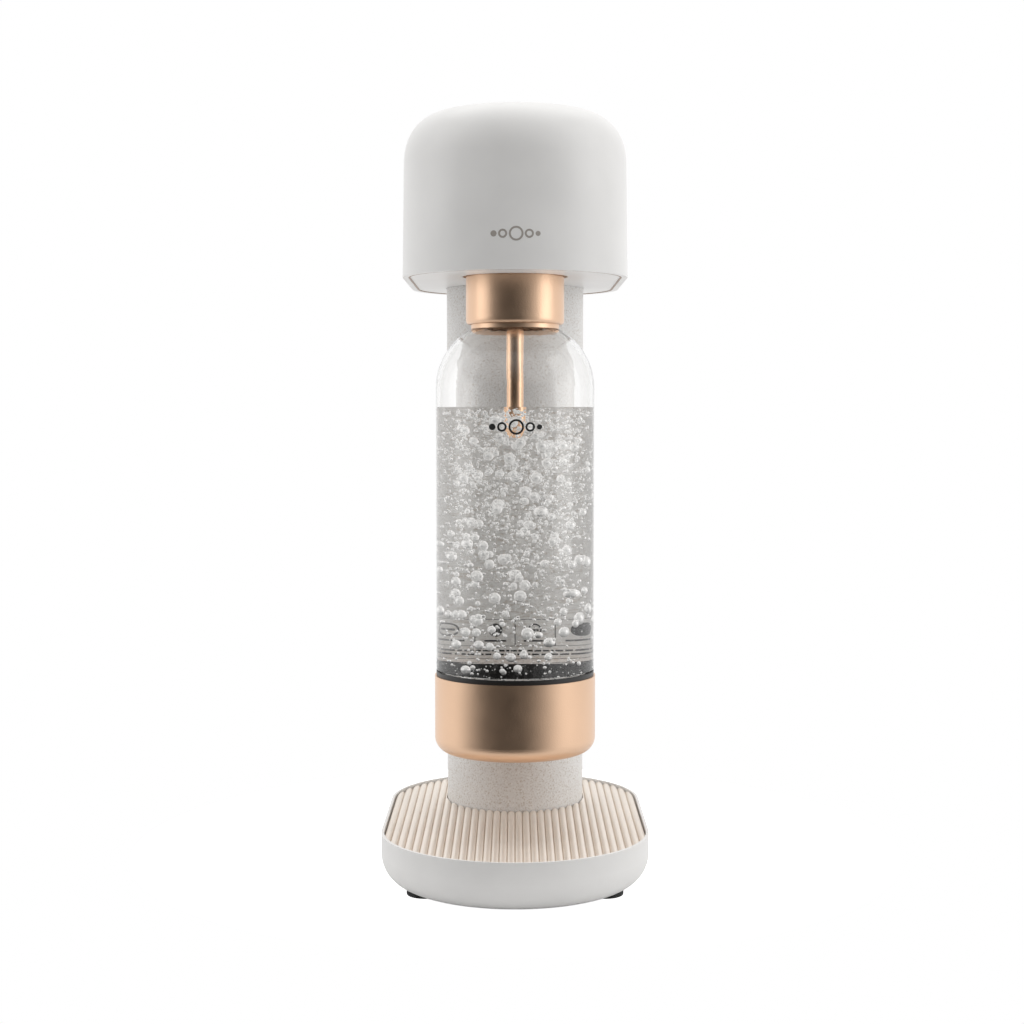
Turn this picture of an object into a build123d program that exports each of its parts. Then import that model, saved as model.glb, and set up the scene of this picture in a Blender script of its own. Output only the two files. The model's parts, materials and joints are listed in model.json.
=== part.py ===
"""Sparkling water maker: slot-shaped base and head on a round pillar, with a bottle hung under the head.

Millimetres. The origin is on the floor under the middle of the base, +Z is up and the front faces -Y.
"""

import os
from math import cos, pi, radians, sin

from build123d import *

os.makedirs("parts", exist_ok=True)

# ---------------------------------------------------------------- driving sizes
BASE_WIDTH = 142.0
BASE_DEPTH = 224.0
BASE_RIM_Z = 29.0
FOOT_HEIGHT = 2.0
CLEAR_HEIGHT = 292.0  # base rim to the underside of the head
HEAD_HEIGHT = 85.5
HEAD_HALF_WIDTH = 58.9  # at the lower rim
HEAD_FRONT_REACH = 55.0  # head front ahead of the bottle axis
HEAD_DRAFT = 0.8  # each side draws in by this much up to the rounded edge
HEAD_EDGE_WIDTH = 26.3
HEAD_EDGE_HEIGHT = 27.6
HEAD_EDGE_PULL = 0.64  # 0.55 is a plain ellipse, more is squarer
PILLAR_R = 39.0
PILLAR_TO_BACK = 64.5  # pillar axis to the back of the base
AXIS_SPACING = 89.5  # pillar axis to bottle axis
BOTTLE_R = 41.5
BOTTLE_GAP = 43.0  # base rim to the bottom of the bottle's cup
CUP_HEIGHT = 40.6
COLLAR_DROP = 24.5  # collar's lower edge below the head
NOZZLE_DROP = 83.5  # nozzle tip below the head
NOZZLE_R = 4.5
GAS_CYLINDER_R = 30.0

# ---------------------------------------------------------------- travels
BUTTON_TRAVEL = 5.0

# ---------------------------------------------------------------- walls, gaps and fits
BASE_WALL = 3.5
BASE_FLOOR = 4.0
BASE_EDGE_R = 16.0
RIM_WALL = 1.5
TRAY_GAP = 0.5
TRAY_DEPTH = 0.9  # rib tops below the rim
TRAY_BODY = 3.6
RIB_PITCH = 4.06
PILLAR_WALL = 3.0
PILLAR_GAP = 0.5
COVER_GAP = 0.3
COVER_FLOOR_GAP = 0.9  # rear cover above the rim and below the head
SEAM_OFFSET = 12.0  # cover seams behind the pillar axis
HEAD_WALL = 3.0
TRIM_WIDTH = 0.9
UNDERPLATE = 2.0
UNDERPLATE_INSET = 0.3
CHASSIS_RISE = 5.0  # chassis underside above the head's lower rim
CHASSIS = 3.0
COLLAR_R = 25.7
COLLAR_WALL = 1.6
COLLAR_OPENING_GAP = 1.7
TURN_GAP = 0.3  # between curved faces that pass each other
SHAFT_GAP = 0.05
PASS_GAP = 0.2  # round a fixed piece that passes through a plate
GLASS = 2.0
LINER = 0.9
CUP_WALL = 0.8
CUP_EDGE_R = 8.0
NECK_R = 17.5
NECK_WALL = 2.5
SHOULDER_R = 34.9
SHOULDER_DROP = 57.6  # where the shoulder starts below the head
NECK_RING_R = 23.0
M3_R = 1.5
M4_R = 2.0

# ---------------------------------------------------------------- levels and axes
BASE_BACK_Y = BASE_DEPTH / 2
BASE_FLOOR_Z = FOOT_HEIGHT + BASE_FLOOR
RIB_R = RIB_PITCH / 2
RIB_TOP_Z = BASE_RIM_Z - TRAY_DEPTH
TRAY_SEAT_Z = RIB_TOP_Z - RIB_R - TRAY_BODY
HEAD_Z = BASE_RIM_Z + CLEAR_HEIGHT
HEAD_TOP_Z = HEAD_Z + HEAD_HEIGHT
PILLAR_Y = BASE_BACK_Y - PILLAR_TO_BACK
BOTTLE_Y = PILLAR_Y - AXIS_SPACING
HEAD_FRONT_Y = BOTTLE_Y - HEAD_FRONT_REACH
HEAD_BACK_Y = BASE_BACK_Y
CHASSIS_Z = HEAD_Z + CHASSIS_RISE
CHASSIS_TOP_Z = CHASSIS_Z + CHASSIS
CUP_Z = BASE_RIM_Z + BOTTLE_GAP
PILLAR_BORE_R = PILLAR_R - PILLAR_WALL


def export(builder, name):
    """Label a finished sub-part and write its STEP file."""
    builder.part.label = name
    export_step(builder.part, f"parts/{name}.step")


def slot_outline(half_width, y_front, y_back):
    """Slot outline with its length along Y, for the sketch in hand."""
    with Locations((0, (y_front + y_back) / 2)):
        SlotOverall(y_back - y_front, 2 * half_width, rotation=90)


def base_outline(inset):
    """The base's plan, drawn in by an inset all round."""
    slot_outline(BASE_WIDTH / 2 - inset, inset - BASE_BACK_Y, BASE_BACK_Y - inset)


def ring_outline(y, r_outer, r_inner):
    """A flat ring round the axis at y."""
    with Locations((0, y)):
        Circle(r_outer)
        Circle(r_inner, mode=Mode.SUBTRACT)


def round_spots(y, radius, angles, z):
    """Places on a circle round the axis at y."""
    return [(radius * cos(radians(a)), y + radius * sin(radians(a)), z) for a in angles]


def coil(y, mean_r, wire_r, z_low, z_high, turns):
    """A compression spring round the axis at y, between two levels."""
    height = z_high - z_low - 2 * wire_r
    with BuildLine():
        path = Helix(height / turns, height, mean_r, center=(0, y, z_low + wire_r))
    with BuildSketch(Plane(origin=path @ 0, z_dir=path % 0)) as wire:
        Circle(wire_r)
    sweep(wire.sketch, path=path, is_frenet=True)


# ================================================================ base
FOOT_R = 10.0
FOOT_POCKET = 1.6
FOOT_X = BASE_WIDTH / 2 - 24.5
FOOT_Y = BASE_BACK_Y - 50.0
FOOT_SPOTS = [(x, y) for x in (-FOOT_X, FOOT_X) for y in (-FOOT_Y, FOOT_Y)]
FLANGE_R = PILLAR_R + 7.0
FLANGE = 5.0
FLANGE_TOP_Z = BASE_FLOOR_Z + FLANGE
BOSS_R = 3.2
BOSS_TOP_Z = FLANGE_TOP_Z + 6.0
BASE_SCREW_LENGTH = 14.0
BASE_SCREW_HEAD_R = 4.0
FRONT_BOSSES = round_spots(PILLAR_Y, PILLAR_R + BOSS_R + TURN_GAP, (225, 315), FOOT_HEIGHT)
BACK_BOSSES = round_spots(PILLAR_Y, PILLAR_R + BOSS_R + TURN_GAP, (45, 135), FOOT_HEIGHT)
BALLAST = 4.0
BALLAST_TOP_Z = BASE_FLOOR_Z + BALLAST
BALLAST_EDGE = BASE_EDGE_R + 3.0
BALLAST_BACK_Y = PILLAR_Y - FLANGE_R - 2.0
BALLAST_SPOTS = [(x, BALLAST_BACK_Y - dy, BALLAST_TOP_Z) for x in (-30, 30) for dy in (10, 58)]
PAN_HEAD_R = 2.8
PAN_HEAD = 2.0
SOCKET_R = 1.3
SOCKET = 1.2

with BuildPart() as base_cavity:
    with BuildSketch(Plane.XY.offset(BASE_FLOOR_Z)):
        base_outline(BASE_WALL)
    extrude(amount=BASE_RIM_Z - BASE_FLOOR_Z)
    fillet(base_cavity.faces().sort_by(Axis.Z)[0].edges(), BASE_EDGE_R - BASE_WALL)

with BuildPart() as base_shell:
    with BuildSketch(Plane.XY.offset(FOOT_HEIGHT)):
        base_outline(0)
    extrude(amount=BASE_RIM_Z - FOOT_HEIGHT)
    fillet(base_shell.faces().sort_by(Axis.Z)[0].edges(), BASE_EDGE_R)
    add(base_cavity.part, mode=Mode.SUBTRACT)
    with BuildSketch(Plane.XY.offset(TRAY_SEAT_Z)):
        base_outline(RIM_WALL)
    extrude(amount=BASE_RIM_Z - TRAY_SEAT_Z, mode=Mode.SUBTRACT)
    with Locations(*[(x, y, FOOT_HEIGHT) for x, y in FOOT_SPOTS]):
        Cylinder(
            FOOT_R,
            FOOT_POCKET,
            align=(Align.CENTER, Align.CENTER, Align.MIN),
            mode=Mode.SUBTRACT,
        )
    with Locations(*[Plane(origin=spot, z_dir=(0, 0, -1)) for spot in FRONT_BOSSES + BACK_BOSSES]):
        CounterSinkHole(M4_R, BASE_SCREW_HEAD_R, BASE_FLOOR)
    with Locations(*BALLAST_SPOTS):
        Cylinder(M3_R, 2 * (BALLAST + BASE_FLOOR - 0.5), mode=Mode.SUBTRACT)
export(base_shell, "base_shell")

with BuildPart() as rubber_feet:
    with Locations(*[(x, y, 0) for x, y in FOOT_SPOTS]):
        Cylinder(FOOT_R, FOOT_HEIGHT + FOOT_POCKET, align=(Align.CENTER, Align.CENTER, Align.MIN))
    fillet(rubber_feet.faces().group_by(Axis.Z)[0].edges(), 0.8)
export(rubber_feet, "rubber_feet")

with BuildPart() as flat_screw:
    with BuildSketch(Plane.XZ):
        Polygon(
            (0, 0),
            (BASE_SCREW_HEAD_R, 0),
            (M4_R, BASE_SCREW_HEAD_R - M4_R),
            (M4_R, BASE_SCREW_LENGTH),
            (0, BASE_SCREW_LENGTH),
            align=None,
        )
    revolve(axis=Axis.Z)
    with BuildSketch(Plane.XY):
        RegularPolygon(SOCKET_R, 6)
    extrude(amount=SOCKET, mode=Mode.SUBTRACT)

with BuildPart() as base_screws:
    with Locations(*FRONT_BOSSES, *BACK_BOSSES):
        add(flat_screw.part)
export(base_screws, "base_screws")

with BuildPart() as ballast_plate:
    with BuildSketch(Plane.XY.offset(BASE_FLOOR_Z)):
        base_outline(BALLAST_EDGE)
        with Locations((0, BALLAST_BACK_Y)):
            Rectangle(
                BASE_WIDTH,
                BASE_DEPTH,
                align=(Align.CENTER, Align.MIN),
                mode=Mode.SUBTRACT,
            )
    extrude(amount=BALLAST)
    with Locations(*BALLAST_SPOTS):
        Cylinder(M3_R, 3 * BALLAST, mode=Mode.SUBTRACT)
export(ballast_plate, "ballast_plate")


def pan_screw(length):
    """A pan-head screw hanging below each location in hand, with its head above."""
    Cylinder(PAN_HEAD_R, PAN_HEAD, align=(Align.CENTER, Align.CENTER, Align.MIN))
    Cylinder(M3_R, length, align=(Align.CENTER, Align.CENTER, Align.MAX))
    with Locations((0, 0, PAN_HEAD - SOCKET)):
        Cylinder(SOCKET_R, SOCKET, align=(Align.CENTER, Align.CENTER, Align.MIN), mode=Mode.SUBTRACT)


with BuildPart() as ballast_screws:
    with Locations(*BALLAST_SPOTS):
        pan_screw(BALLAST + BASE_FLOOR - 1.0)
export(ballast_screws, "ballast_screws")

# ---------------------------------------------------------------- ribbed tray and rear deck
TRAY_HALF_WIDTH = BASE_WIDTH / 2 - RIM_WALL - TRAY_GAP
RIBS_PER_SIDE = round(TRAY_HALF_WIDTH / RIB_PITCH)
BAY_HALF_WIDTH = PILLAR_R + PILLAR_GAP
DECK_HALF_WIDTH = BAY_HALF_WIDTH - PILLAR_GAP
DECK_FRONT_Y = PILLAR_Y + SEAM_OFFSET


def ribbed_plate():
    """A plate as wide as the tray, with half-round ribs that run front to back."""
    edge = RIBS_PER_SIDE * RIB_PITCH
    valley_z = RIB_TOP_Z - RIB_R
    with BuildSketch(Plane.XZ.offset(-BASE_BACK_Y)) as ribs:
        with BuildLine():
            for rib in range(2 * RIBS_PER_SIDE):
                left = rib * RIB_PITCH - edge
                ThreePointArc((left, valley_z), (left + RIB_R, RIB_TOP_Z), (left + RIB_PITCH, valley_z))
            Polyline((edge, valley_z), (edge, TRAY_SEAT_Z), (-edge, TRAY_SEAT_Z), (-edge, valley_z))
        make_face()
    extrude(ribs.sketch, amount=BASE_DEPTH)
    with BuildSketch(Plane.XY.offset(TRAY_SEAT_Z)) as plan:
        base_outline(RIM_WALL + TRAY_GAP)
    extrude(plan.sketch, amount=RIB_TOP_Z - TRAY_SEAT_Z, mode=Mode.INTERSECT)


with BuildPart() as tray_plate:
    ribbed_plate()
    with BuildSketch(Plane.XY.offset(TRAY_SEAT_Z)):
        with Locations((0, PILLAR_Y)):
            Circle(BAY_HALF_WIDTH)
            Rectangle(2 * BAY_HALF_WIDTH, BASE_DEPTH, align=(Align.CENTER, Align.MIN))
    extrude(amount=BASE_RIM_Z - TRAY_SEAT_Z, mode=Mode.SUBTRACT)
export(tray_plate, "tray_plate")

with BuildPart() as rear_deck:
    ribbed_plate()
    with BuildSketch(Plane.XY.offset(TRAY_SEAT_Z)):
        with Locations((0, DECK_FRONT_Y)):
            Rectangle(2 * DECK_HALF_WIDTH, BASE_DEPTH, align=(Align.CENTER, Align.MIN))
        with Locations((0, PILLAR_Y)):
            Circle(BAY_HALF_WIDTH, mode=Mode.SUBTRACT)
    extrude(amount=BASE_RIM_Z - TRAY_SEAT_Z, mode=Mode.INTERSECT)
    with Locations(*[(x, y, FLANGE_TOP_Z) for x, y, _ in BACK_BOSSES]):
        Cylinder(BOSS_R, TRAY_SEAT_Z - FLANGE_TOP_Z, align=(Align.CENTER, Align.CENTER, Align.MIN))
        Cylinder(
            M4_R,
            BOSS_TOP_Z - FLANGE_TOP_Z,
            align=(Align.CENTER, Align.CENTER, Align.MIN),
            mode=Mode.SUBTRACT,
        )
export(rear_deck, "rear_deck")

# ================================================================ pillar
WINDOW_LOW_Z = BASE_RIM_Z
WINDOW_HIGH_Z = HEAD_Z
TOP_FLANGE = 5.0
TOP_FLANGE_R = GAS_CYLINDER_R + 1.0
TOP_SCREW_R = (PILLAR_R + TOP_FLANGE_R) / 2 - 0.8
TOP_SCREW_SPOTS = round_spots(PILLAR_Y, TOP_SCREW_R, (45, 135, 225, 315), CHASSIS_TOP_Z)

with BuildPart() as pillar_shell:
    with BuildSketch(Plane.XY.offset(BASE_FLOOR_Z)):
        ring_outline(PILLAR_Y, PILLAR_R, PILLAR_BORE_R)
    extrude(amount=CHASSIS_Z - BASE_FLOOR_Z)
    with BuildSketch(Plane.XY.offset(BASE_FLOOR_Z)):
        ring_outline(PILLAR_Y, FLANGE_R, PILLAR_BORE_R)
    extrude(amount=FLANGE)
    with BuildSketch(Plane.XY.offset(CHASSIS_Z)):
        ring_outline(PILLAR_Y, PILLAR_R, TOP_FLANGE_R)
    extrude(amount=-TOP_FLANGE)
    with Locations(*[(x, y, FLANGE_TOP_Z) for x, y, _ in FRONT_BOSSES]):
        Cylinder(BOSS_R, BOSS_TOP_Z - FLANGE_TOP_Z, align=(Align.CENTER, Align.CENTER, Align.MIN))
    with Locations(*[(x, y, BASE_FLOOR_Z) for x, y, _ in FRONT_BOSSES + BACK_BOSSES]):
        Cylinder(
            M4_R,
            BOSS_TOP_Z - BASE_FLOOR_Z,
            align=(Align.CENTER, Align.CENTER, Align.MIN),
            mode=Mode.SUBTRACT,
        )
    with Locations(*TOP_SCREW_SPOTS):
        Cylinder(M3_R, 2 * (TOP_FLANGE + CHASSIS), mode=Mode.SUBTRACT)
    with BuildSketch(Plane.XY.offset(WINDOW_LOW_Z)):
        with Locations((0, PILLAR_Y + SEAM_OFFSET)):
            Rectangle(3 * PILLAR_R, 2 * PILLAR_R, align=(Align.CENTER, Align.MIN))
    extrude(amount=WINDOW_HIGH_Z - TOP_FLANGE - WINDOW_LOW_Z, mode=Mode.SUBTRACT)
export(pillar_shell, "pillar_shell")

COVER_LOW_Z = WINDOW_LOW_Z + COVER_FLOOR_GAP
COVER_HIGH_Z = WINDOW_HIGH_Z - TOP_FLANGE - COVER_GAP
CLIP_INNER_X = GAS_CYLINDER_R + 0.7
CLIP = 2.4
CLIP_REACH = 5.0
CLIP_HEIGHT = 18.0
CLIP_LEVELS = [COVER_LOW_Z + share * (COVER_HIGH_Z - COVER_LOW_Z) for share in (0.12, 0.88)]

with BuildPart() as rear_cover:
    with BuildSketch(Plane.XY.offset(COVER_LOW_Z)):
        ring_outline(PILLAR_Y, PILLAR_R, PILLAR_BORE_R)
        with Locations((0, PILLAR_Y + SEAM_OFFSET + COVER_GAP)):
            Rectangle(3 * PILLAR_R, 3 * PILLAR_R, align=(Align.CENTER, Align.MAX), mode=Mode.SUBTRACT)
    extrude(amount=COVER_HIGH_Z - COVER_LOW_Z)
    for level in CLIP_LEVELS:
        with BuildSketch(Plane.XY.offset(level - CLIP_HEIGHT / 2)):
            for side in (-1, 1):
                with Locations((side * (CLIP_INNER_X + CLIP / 2), PILLAR_Y + SEAM_OFFSET - CLIP_REACH)):
                    Rectangle(CLIP, 2 * CLIP_REACH + 2.0, align=(Align.CENTER, Align.MIN))
        extrude(amount=CLIP_HEIGHT)
export(rear_cover, "rear_cover")

# ================================================================ gas cylinder
PAD = 2.5
CRADLE_GAP = 0.5
CRADLE_HEIGHT = 8.0
CYLINDER_WALL = 3.0
CYLINDER_Z = BASE_FLOOR_Z + PAD + TURN_GAP
VALVE_THREAD_R = 10.5
VALVE_HEX_R = 15.6
VALVE_NECK_R = 14.0
VALVE_TOP_Z = CHASSIS_TOP_Z + 20.5
VALVE_THREAD = 27.5
VALVE_HEX = 11.0
VALVE_HEX_Z = VALVE_TOP_Z - VALVE_THREAD - VALVE_HEX
NECK_LENGTH = 6.0
SHOULDER_RISE = 24.0
PIN_R = 2.0
PIN_LENGTH = 20.0
PIN_TOP_Z = VALVE_TOP_Z + 0.7
PLUNGER_R = 3.0

with BuildPart() as cylinder_pad:
    with Locations((0, PILLAR_Y, BASE_FLOOR_Z)):
        Cylinder(GAS_CYLINDER_R - 2.0, PAD, align=(Align.CENTER, Align.CENTER, Align.MIN))
export(cylinder_pad, "cylinder_pad")

with BuildPart() as cylinder_cradle:
    for share in (0.3, 0.75):
        with BuildSketch(Plane.XY.offset(BASE_RIM_Z + share * CLEAR_HEIGHT)):
            ring_outline(PILLAR_Y, PILLAR_BORE_R, GAS_CYLINDER_R + CRADLE_GAP)
            with Locations((0, PILLAR_Y)):
                Rectangle(3 * PILLAR_R, 2 * PILLAR_R, align=(Align.CENTER, Align.MIN), mode=Mode.SUBTRACT)
        extrude(amount=CRADLE_HEIGHT)
export(cylinder_cradle, "cylinder_cradle")


def flask_half(radius, low_z, neck_radius, shoulder_z, neck_z, top_z):
    """Half outline of the gas cylinder, with rounded corners, for a revolve."""
    with BuildSketch(Plane.XZ.offset(-PILLAR_Y)) as half:
        Polygon(
            (0, low_z),
            (radius, low_z),
            (radius, shoulder_z),
            (neck_radius, neck_z),
            (neck_radius, top_z),
            (0, top_z),
            align=None,
        )
        corners = half.vertices().filter_by_position(Axis.X, neck_radius / 2, 2 * radius)
        corners = corners.filter_by_position(Axis.Z, low_z - 1, neck_z + 1).sort_by(Axis.Z)
        fillet(corners, NECK_LENGTH)
    return half.sketch


with BuildPart() as co2_cylinder:
    outside = flask_half(
        GAS_CYLINDER_R,
        CYLINDER_Z,
        VALVE_NECK_R,
        VALVE_HEX_Z - NECK_LENGTH - SHOULDER_RISE,
        VALVE_HEX_Z - NECK_LENGTH,
        VALVE_HEX_Z,
    )
    revolve(outside, axis=Axis((0, PILLAR_Y, 0), (0, 0, 1)))
    inside = flask_half(
        GAS_CYLINDER_R - CYLINDER_WALL,
        CYLINDER_Z + CYLINDER_WALL,
        VALVE_NECK_R - CYLINDER_WALL,
        VALVE_HEX_Z - NECK_LENGTH - SHOULDER_RISE,
        VALVE_HEX_Z - NECK_LENGTH - CYLINDER_WALL,
        VALVE_HEX_Z,
    )
    revolve(inside, axis=Axis((0, PILLAR_Y, 0), (0, 0, 1)), mode=Mode.SUBTRACT)
export(co2_cylinder, "co2_cylinder")

with BuildPart() as cylinder_valve:
    with Locations((0, PILLAR_Y, VALVE_HEX_Z)):
        Cylinder(
            VALVE_NECK_R - CYLINDER_WALL,
            NECK_LENGTH,
            align=(Align.CENTER, Align.CENTER, Align.MAX),
        )
    with BuildSketch(Plane.XY.offset(VALVE_HEX_Z)):
        with Locations((0, PILLAR_Y)):
            RegularPolygon(VALVE_HEX_R, 6)
    extrude(amount=VALVE_HEX)
    with Locations((0, PILLAR_Y, VALVE_TOP_Z)):
        Cylinder(VALVE_THREAD_R, VALVE_THREAD, align=(Align.CENTER, Align.CENTER, Align.MAX))
    chamfer(cylinder_valve.faces().sort_by(Axis.Z)[-1].edges(), 0.8)
    with Locations((0, PILLAR_Y, VALVE_TOP_Z)):
        CounterBoreHole(PIN_R + SHAFT_GAP, PLUNGER_R + 0.4, 4.0)
export(cylinder_valve, "cylinder_valve")

with BuildPart() as valve_pin:
    with Locations((0, PILLAR_Y, PIN_TOP_Z)):
        Cylinder(PIN_R, PIN_LENGTH, align=(Align.CENTER, Align.CENTER, Align.MAX))
export(valve_pin, "valve_pin")

# ================================================================ head
HEAD_END_Y = [HEAD_FRONT_Y + HEAD_HALF_WIDTH, HEAD_BACK_Y - HEAD_HALF_WIDTH]
BUTTON_Y = (HEAD_FRONT_Y + HEAD_BACK_Y) / 2
BUTTON_R = 14.0
BUTTON_OPENING_R = BUTTON_R + 0.5
HEAD_BOSS_R = 4.5
HEAD_BOSS_X = HEAD_HALF_WIDTH - 13.0
HEAD_SCREW_LENGTH = 12.0
HEAD_BOSSES = [(x, y, CHASSIS_Z) for x in (-HEAD_BOSS_X, HEAD_BOSS_X) for y in (BOTTLE_Y - 12, PILLAR_Y + 26)]


def head_block(inset):
    """The head's outer form drawn in by an inset, standing on its open lower rim."""
    top_z = HEAD_TOP_Z - inset
    corner_z = HEAD_TOP_Z - HEAD_EDGE_HEIGHT
    flat = HEAD_HALF_WIDTH - HEAD_DRAFT - HEAD_EDGE_WIDTH
    side = HEAD_HALF_WIDTH - HEAD_DRAFT - inset
    pull_x = flat + HEAD_EDGE_PULL * (side - flat)
    pull_z = corner_z + HEAD_EDGE_PULL * (top_z - corner_z)
    low = (HEAD_HALF_WIDTH - inset, HEAD_Z)
    with BuildSketch(Plane.XZ.offset(-HEAD_END_Y[1])) as half:
        with BuildLine():
            Line((0, HEAD_Z), (0, top_z))
            Line((0, top_z), (flat, top_z))
            Bezier((flat, top_z), (pull_x, top_z), (side, pull_z), (side, corner_z))
            Polyline((side, corner_z), low, (0, HEAD_Z))
        make_face()
    with BuildSketch(Plane.XZ.offset(-HEAD_END_Y[1])) as whole:
        add(half.sketch)
        mirror(about=Plane.YZ)
    extrude(whole.sketch, amount=HEAD_END_Y[1] - HEAD_END_Y[0])
    revolve(half.sketch, axis=Axis((0, HEAD_END_Y[1], 0), (0, 0, 1)))
    front = half.sketch.moved(Location((0, HEAD_END_Y[0] - HEAD_END_Y[1], 0)))
    revolve(front, axis=Axis((0, HEAD_END_Y[0], 0), (0, 0, 1)))


with BuildPart() as head_cavity:
    head_block(HEAD_WALL)

with BuildPart() as head_core:
    head_block(HEAD_WALL / 2)

with BuildPart() as head_shell:
    head_block(0)
    add(head_cavity.part, mode=Mode.SUBTRACT)
    with BuildPart(mode=Mode.PRIVATE) as posts:
        with Locations(*[(x, y, CHASSIS_TOP_Z) for x, y, _ in HEAD_BOSSES]):
            Cylinder(HEAD_BOSS_R, HEAD_HEIGHT, align=(Align.CENTER, Align.CENTER, Align.MIN))
            Cylinder(M3_R, 2 * HEAD_SCREW_LENGTH, mode=Mode.SUBTRACT)
        add(head_core.part, mode=Mode.INTERSECT)
    add(posts.part)
    with Locations((0, BUTTON_Y, HEAD_TOP_Z)):
        Cylinder(BUTTON_OPENING_R, 3 * HEAD_WALL, mode=Mode.SUBTRACT)
export(head_shell, "head_shell")

# ---------------------------------------------------------------- underplate, trim band and chassis
INSIDE_HALF_WIDTH = HEAD_HALF_WIDTH - HEAD_WALL - 0.1
UNDERPLATE_Z = HEAD_Z + UNDERPLATE_INSET
UNDERPLATE_TOP_Z = UNDERPLATE_Z + UNDERPLATE
POST_R = 3.0
POST_X = HEAD_BOSS_X - 1.0
CHASSIS_MARGIN = 6.0
NOZZLE_BLOCK_R = 22.0
BLOCK_SCREW_R = 23.5
BLOCK_FOOT_R = 26.5
NOZZLE_SCREW_R = 28.0
LUG_ANGLES = (90, 210, 330)
BLOCK_SCREW_SPOTS = round_spots(PILLAR_Y, BLOCK_SCREW_R, (0, 90, 180, 270), CHASSIS_TOP_Z + 4.0)
NOZZLE_SCREW_SPOTS = round_spots(BOTTLE_Y, NOZZLE_SCREW_R, LUG_ANGLES, CHASSIS_TOP_Z + 4.0)
LEVER_PLUNGER_ARM = 30.5
LEVER_Y = PILLAR_Y + LEVER_PLUNGER_ARM
BRACKET_SCREW_SPOTS = [(x, LEVER_Y + 4.0, CHASSIS_TOP_Z + 4.0) for x in (-13, 13)]


def inside_outline(gap):
    """Plan of the room inside the head's lower rim, drawn in by a gap."""
    side = HEAD_HALF_WIDTH - INSIDE_HALF_WIDTH + gap
    slot_outline(INSIDE_HALF_WIDTH - gap, HEAD_FRONT_Y + side, HEAD_BACK_Y - side)


with BuildPart() as trim_band:
    with BuildSketch(Plane.XY.offset(HEAD_Z)):
        inside_outline(0)
    extrude(amount=UNDERPLATE + 1.0)
    with BuildSketch(Plane.XY.offset(HEAD_Z)):
        inside_outline(TRIM_WIDTH)
    extrude(amount=UNDERPLATE + 1.0, mode=Mode.SUBTRACT)
export(trim_band, "trim_band")

with BuildPart() as head_underplate:
    with BuildSketch(Plane.XY.offset(UNDERPLATE_Z)):
        inside_outline(TRIM_WIDTH)
        with Locations((0, BOTTLE_Y)):
            Circle(COLLAR_R + COLLAR_OPENING_GAP, mode=Mode.SUBTRACT)
        with Locations((0, PILLAR_Y)):
            Circle(PILLAR_R + COVER_GAP, mode=Mode.SUBTRACT)
    extrude(amount=UNDERPLATE)
    with Locations(*[(x, y, UNDERPLATE_TOP_Z) for x in (-POST_X, POST_X) for y in (BOTTLE_Y + 12, PILLAR_Y)]):
        Cylinder(POST_R, CHASSIS_Z - UNDERPLATE_TOP_Z, align=(Align.CENTER, Align.CENTER, Align.MIN))
export(head_underplate, "head_underplate")

with BuildPart() as chassis_plate:
    with BuildSketch(Plane.XY.offset(CHASSIS_Z)):
        inside_outline(CHASSIS_MARGIN - HEAD_WALL)
        with Locations((0, BOTTLE_Y)):
            Circle(NOZZLE_BLOCK_R + PASS_GAP, mode=Mode.SUBTRACT)
        with Locations((0, PILLAR_Y)):
            Circle(VALVE_THREAD_R + 1.5, mode=Mode.SUBTRACT)
    extrude(amount=CHASSIS)
    screw_spots = HEAD_BOSSES + TOP_SCREW_SPOTS + BLOCK_SCREW_SPOTS + NOZZLE_SCREW_SPOTS
    with Locations(*[(x, y, CHASSIS_Z) for x, y, _ in screw_spots + BRACKET_SCREW_SPOTS]):
        Cylinder(M3_R, 3 * CHASSIS, mode=Mode.SUBTRACT)
export(chassis_plate, "chassis_plate")

with BuildPart() as pillar_top_screws:
    with Locations(*TOP_SCREW_SPOTS):
        pan_screw(CHASSIS + TOP_FLANGE)
export(pillar_top_screws, "pillar_top_screws")

with BuildPart() as head_screws:
    with Locations(*[Location(spot, (180, 0, 0)) for spot in HEAD_BOSSES]):
        pan_screw(HEAD_SCREW_LENGTH)
export(head_screws, "head_screws")

# ---------------------------------------------------------------- valve block, plunger and lever
FOOT_PLATE = 4.0
VALVE_BLOCK_R = 19.0
VALVE_BLOCK_TOP_Z = CHASSIS_TOP_Z + 33.0
VALVE_BORE_TOP_Z = VALVE_TOP_Z + 1.0
SEAL_GAP = 0.1
PORT_R = 2.0
PORT_Z = CHASSIS_TOP_Z + 12.0
PLUNGER_LOW_Z = PIN_TOP_Z + 0.15
PLUNGER_HEAD_R = 6.0
PLUNGER_HEAD = 2.0
PLUNGER_TOP_Z = VALVE_BLOCK_TOP_Z + 7.0
LEVER_GAP = 0.15
LEVER_PAD_R = 3.0
LEVER_PAD_DEPTH = 0.85
LEVER_THICK = 6.0
LEVER_HALF_WIDTH = 6.0
LEVER_Z = PLUNGER_TOP_Z + LEVER_GAP + LEVER_PAD_DEPTH + LEVER_THICK / 2
LEVER_TOP_Z = LEVER_Z + LEVER_THICK / 2
LEVER_PIN_R = 2.5
EAR = 2.0
EAR_INNER_X = LEVER_HALF_WIDTH + 0.8
EAR_HALF_DEPTH = 4.0
BRACKET_PLATE = 4.0
BRACKET_HALF_WIDTH = 17.0

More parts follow.
